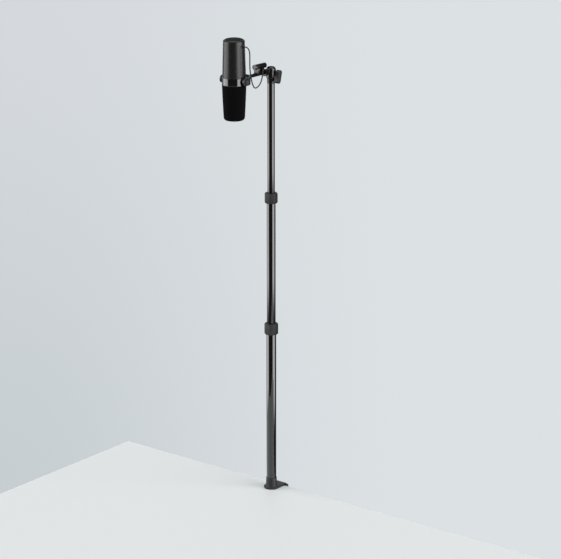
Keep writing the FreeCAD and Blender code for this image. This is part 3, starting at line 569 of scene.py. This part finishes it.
# ---- rear shell and cap ----------------------------------------------------------------------
# The upper body is a drawn aluminium cone in dark grey satin enamel. A domed cap with a bevelled rim
# closes it; both are sprayed, which leaves a faint orange peel.
enamel, tree, shader = new_material("grey_satin_enamel", IOR=1.52)
fine_surface(tree, shader, ("#161617", "#1c1c1d"), 0.8, 0.012, (0.30, 0.38))
mic = middle("rear_shell")
low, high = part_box("rear_shell")
shell_h = (high.z - low.z) / MM
foot_r, top_r = radius_of("rear_shell"), radius_of("rear_cap")
shell = [(foot_r - 1.5, 0), (foot_r - 0.3, 0), (foot_r, 0.5), (foot_r, 1.2), (foot_r - 0.35, 1.6),
         (foot_r - 0.3, 2.2)]
shell += [(foot_r - 0.3 + (top_r - foot_r + 0.3) * t ** 1.25, 2.2 + (shell_h - 2.2) * t) for t in
          [i / 12 for i in range(1, 13)]]
shell += [(top_r - 1.5, shell_h), (foot_r - 1.8, 2.5)]
shell_mesh = turned(shell, (mic.x, mic.y, low.z), ease_mm=0.15, steps=128)
shown("upper_shell", shell_mesh, enamel, "microphone", "shell_enamel", "rear_shell")

low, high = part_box("rear_cap")
cap_top = (high.z - low.z) / MM
bevel_h, groove = 3.6, 0.45
cap = [(0, 0), (top_r - 1.6, 0), (top_r - 1.6, 4.0), (top_r - groove, 4.0), (top_r - groove, 4.5), (top_r, 4.7),
       (top_r, 5.0), (top_r - bevel_h, 4.0 + bevel_h - 0.2), (top_r - bevel_h - 0.5, 4.0 + bevel_h - 0.5)]
dome_r = top_r - bevel_h - 1.0
cap += [(dome_r * math.cos(a), 4.0 + bevel_h - 0.5 + (cap_top - 3.5 - bevel_h) * math.sin(a))
        for a in [math.radians(10 * i) for i in range(1, 9)]]
cap += [(0, cap_top)]
# The dome inside the bevel is painted a darker, duller black than the enamel: painted shade, so that it stays dark
# under any light.
painted_shade_black, tree, shader = new_material("dome_painted_shade_black", IOR=1.35)
fine_surface(tree, shader, ("#0a0a0b", "#101011"), 0.5, 0.02, (0.75, 0.88))
cap_piece = shown("domed_cap", turned(cap, (mic.x, mic.y, low.z), ease_mm=0.2, steps=128), enamel,
                  "microphone", "shell_enamel", "rear_cap")
cap_piece.data.materials.append(painted_shade_black)
# Faces inside the bevel take the painted shade black.
for polygon in cap_piece.data.polygons:
    from_axis = math.hypot(polygon.center.x - mic.x, polygon.center.y - mic.y) / MM
    polygon.material_index = int(from_axis < top_r - bevel_h - 0.2)


# ---- windscreen ------------------------------------------------------------------------------
# The windscreen is a sleeve of black open-cell polyurethane foam, about forty cells to the
# centimetre. It is dead matt, and its cut face is soft and slightly uneven.
foam, tree, shader = new_material("black_open_cell_foam", IOR=1.4, Sheen_Weight=0.02, Sheen_Roughness=0.6)
shader.inputs["Specular IOR Level"].default_value = 0.05
place = add(tree, "ShaderNodeTexCoord")
CELL_MM = 0.7  # the real cells are 0.3 mm; they are drawn coarser so that they show
cells = add(tree, "ShaderNodeTexVoronoi", {"Scale": 1 / (CELL_MM * MM)}, {"Vector": place.outputs["Object"]})
# Each cell is painted darker towards its middle, where the bump sinks it: painted shade in the pores.
tone = add(tree, "ShaderNodeMix", {"data_type": "RGBA", 6: linear("#040404"), 7: linear("#0d0d0d")},
           {0: cells.outputs["Distance"]})
tree.links.new(tone.outputs[2], shader.inputs["Base Color"])
rough = add(tree, "ShaderNodeMapRange", {"To Min": 0.9, "To Max": 1.0}, {"Value": cells.outputs["Distance"]})
tree.links.new(rough.outputs["Result"], shader.inputs["Roughness"])
bump = add(tree, "ShaderNodeBump", {"Strength": 0.8, "Distance": 0.3 * MM}, {"Height": cells.outputs["Distance"]})
tree.links.new(bump.outputs["Normal"], shader.inputs["Normal"])

low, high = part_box("foam_windscreen")
foam_h = (high.z - low.z) / MM
foam_top, foam_foot, foam_wall, foam_round = radius_of("foam_windscreen"), 24.6, 6.5, 6.5
outer = [(0, 0.35)] + [(r, 0.35 - 0.35 * r / (foam_foot - foam_round)) for r in (6, 12, 17.0)]
outer += arc(foam_foot - foam_round - 0.05, foam_round, foam_round, -88, -4, 12)
steps_up = 30
for i in range(1, steps_up + 1):
    t = i / steps_up
    z = foam_round + (foam_h - foam_round - 1.0) * t
    belly = 0.25 * math.sin(math.pi * t)
    outer.append((foam_foot + 0.3 + (foam_top - foam_foot - 0.3) * t + belly - 0.2, z))
outer += [(foam_top - 0.6, foam_h), (foam_top - foam_wall, foam_h), (foam_foot - foam_wall + 0.4, 12.0),
          (foam_foot - foam_wall - 4, 7.2), (0, 7.0)]
foam_mesh = turned(outer, (mic.x, mic.y, low.z), ease_mm=0, steps=160)
ripple = bpy.data.textures.new("foam_ripple", "CLOUDS")
ripple.noise_scale, ripple.noise_depth = 0.004, 2
foam_mesh = with_modifiers(foam_mesh, ("DISPLACE", {"texture": ripple, "strength": 0.35 * MM, "mid_level": 0.6,
                                                    "texture_coords": "LOCAL"}))
foam_piece = shown("foam_sleeve", smoothed(foam_mesh, 60), foam, "microphone", "foam", "foam_windscreen")


# ---- strain relief, gland and lead -----------------------------------------------------------
# The microphone's own lead is limp 2.8 mm PVC cable. It leaves the shell through a moulded rubber
# relief, hangs in a loop behind the yoke and goes up into a gland under the barrel's saddle.
pvc, tree, shader = new_material("black_pvc_jacket", IOR=1.52)
fine_surface(tree, shader, ("#141416", "#1c1c1e"), 1.5, 0.02, (0.35, 0.5))
moulding, tree, shader = new_material("black_moulded_rubber", IOR=1.5)
fine_surface(tree, shader, ("#151516", "#202022"), 0.6, 0.03, (0.5, 0.65))
low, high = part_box("shell_strain_relief")
exit_at = (high.x, (low.y + high.y) / 2, (low.z + high.z) / 2)
relief_l = (high.x - low.x) / MM
relief = [(0, 0), (2.2, 0), (2.2, relief_l - 5.2), (3.0, relief_l - 5.2), (3.0, relief_l - 4.2)]
for i in range(4):
    z = relief_l - 4.0 + i * 0.95
    r = 2.75 - 0.27 * i
    relief += [(r - 0.3, z), (r - 0.3, z + 0.25), (r, z + 0.4), (r - 0.05, z + 0.8)]
relief += [(1.7, relief_l), (0, relief_l)]
relief_piece = shown("shell_relief", turned(relief, (low.x, exit_at[1], exit_at[2]), (1, 0, 0), 0.08, 48),
                     moulding, "microphone", "soft_rubber", "shell_strain_relief")
low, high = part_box("lead_gland")
enter_at = ((low.x + high.x) / 2, (low.y + high.y) / 2, low.z)
gland_l = (high.z - low.z) / MM
gland = [(0, 0), (1.7, 0), (1.9, 0.8), (2.2, 2.0), (2.6, 3.5), (2.6, gland_l), (0, gland_l)]
gland_piece = shown("saddle_gland", turned(gland, enter_at, (0, 0, 1), 0.15, 48), moulding, "arm",
                    "soft_rubber", "lead_gland")

LEAD_DIAMETER, LEAD_LENGTH = 0.0028, 0.2086
route = [
    (0.0392, -0.1370, 1.1230), (0.0457, -0.1372, 1.1160), (0.0467, -0.1370, 1.1035),
    (0.0464, -0.1373, 1.0840), (0.0474, -0.1370, 1.0650), (0.0459, -0.1310, 1.0475),
    (0.0404, -0.1175, 1.0290), (0.0328, -0.1000, 1.0205), (0.0230, -0.0775, 1.0195),
    (0.0138, -0.0560, 1.0240), (0.0080, -0.0420, 1.0360),
]
points = [exit_at] + route + [enter_at]
guide = bpy.data.curves.new("lead_line", "CURVE")
guide.dimensions = "3D"
spline = guide.splines.new("NURBS")
spline.points.add(len(points) - 1)
for point, at in zip(spline.points, points):
    point.co = (*at, 1.0)
spline.order_u = 3
spline.use_endpoint_u = True
guide.resolution_u = 8
line_holder = bpy.data.objects.new("lead_line", guide)
bpy.context.collection.objects.link(line_holder)
line_mesh = bpy.data.meshes.new_from_object(line_holder)
line = [vertex.co.copy() for vertex in line_mesh.vertices]
bpy.data.objects.remove(line_holder)


def swept(line, radius, sides=20):
    """A closed tube round a line of points."""
    body = bmesh.new()
    rings = []
    up = Vector((0, 1, 0))
    for i, at in enumerate(line):
        along = (line[min(i + 1, len(line) - 1)] - line[max(i - 1, 0)]).normalized()
        across = (up - along * up.dot(along)).normalized()
        up = across
        over = along.cross(across)
        angles = [2 * math.pi * k / sides for k in range(sides)]
        rings.append([body.verts.new(at + radius * (across * math.cos(a) + over * math.sin(a)))
                      for a in angles])
    for first, second in zip(rings, rings[1:]):
        for k in range(sides):
            body.faces.new((first[k], first[(k + 1) % sides], second[(k + 1) % sides], second[k]))
    body.faces.new(rings[0])
    body.faces.new(rings[-1])
    bmesh.ops.recalc_face_normals(body, faces=body.faces)
    mesh = bpy.data.meshes.new("swept")
    body.to_mesh(mesh)
    body.free()
    return smoothed(mesh, 60)


lead = bpy.data.objects.new("microphone_lead", swept(line, LEAD_DIAMETER / 2))
bpy.context.collection.objects.link(lead)
lead.data.materials.append(pvc)
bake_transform(lead)
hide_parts("mic_lead")


# ---- inner pieces ----------------------------------------------------------------------------
# What the covers hide keeps its CAD shape: steel bolts and screws, acetal bushes and plugs, the
# aluminium chassis and capsule, the transformer and the circuit board.
acetal, tree, shader = new_material("black_acetal", IOR=1.48)
fine_surface(tree, shader, ("#1a1a1b", "#232324"), 1.0, 0.01, (0.35, 0.5))
bare_aluminium, tree, shader = new_material("turned_aluminium", Metallic=1.0)
fine_surface(tree, shader, ("#a9abad", "#c2c4c6"), 0.4, 0.01, (0.25, 0.4))
perforated, tree, shader = new_material("perforated_steel", Metallic=1.0)
place = add(tree, "ShaderNodeTexCoord")
holes = add(tree, "ShaderNodeTexVoronoi", {"Scale": 1 / (1.6 * MM)}, {"Vector": place.outputs["Object"]})
dots = add(tree, "ShaderNodeMapRange", {"From Min": 0.25, "From Max": 0.35}, {"Value": holes.outputs["Distance"]})
# The holes are painted as near-black dots: painted shade where the steel is pierced.
tone = add(tree, "ShaderNodeMix", {"data_type": "RGBA", 6: linear("#0c0c0c"), 7: linear("#7d7f82")},
           {0: dots.outputs["Result"]})
tree.links.new(tone.outputs[2], shader.inputs["Base Color"])
laminations, tree, shader = new_material("varnished_laminations", IOR=1.5)
fine_surface(tree, shader, ("#4a2c1c", "#6b4630"), 0.5, 0.05, (0.3, 0.5))
epoxy, tree, shader = new_material("green_solder_mask", IOR=1.5)
fine_surface(tree, shader, ("#0d4a26", "#13602f"), 2.5, 0.02, (0.25, 0.35))
FINISHES = {
    zinc: ["pole_bolt", "lower_tube_plug", "tube_top_plug", "yoke_bolt", "left_pivot_screw",
           "right_pivot_screw", "lock_screw"],
    acetal: ["lower_clutch", "upper_clutch", "middle_guide", "upper_guide", "ball_cup", "stud_washer",
             "pivot_washers"],
    bare_aluminium: ["inner_chassis", "dynamic_capsule"],
    perforated: ["grille_basket"],
    laminations: ["matching_transformer"],
    epoxy: ["circuit_board"],
    insert_plastic: ["connector_insert"],
    nickel: ["connector_pins"],
    moulding: ["capsule_shock_mount"],
}
for material, names in FINISHES.items():
    for name in names:
        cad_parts[name].data.materials.clear()
        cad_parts[name].data.materials.append(material)
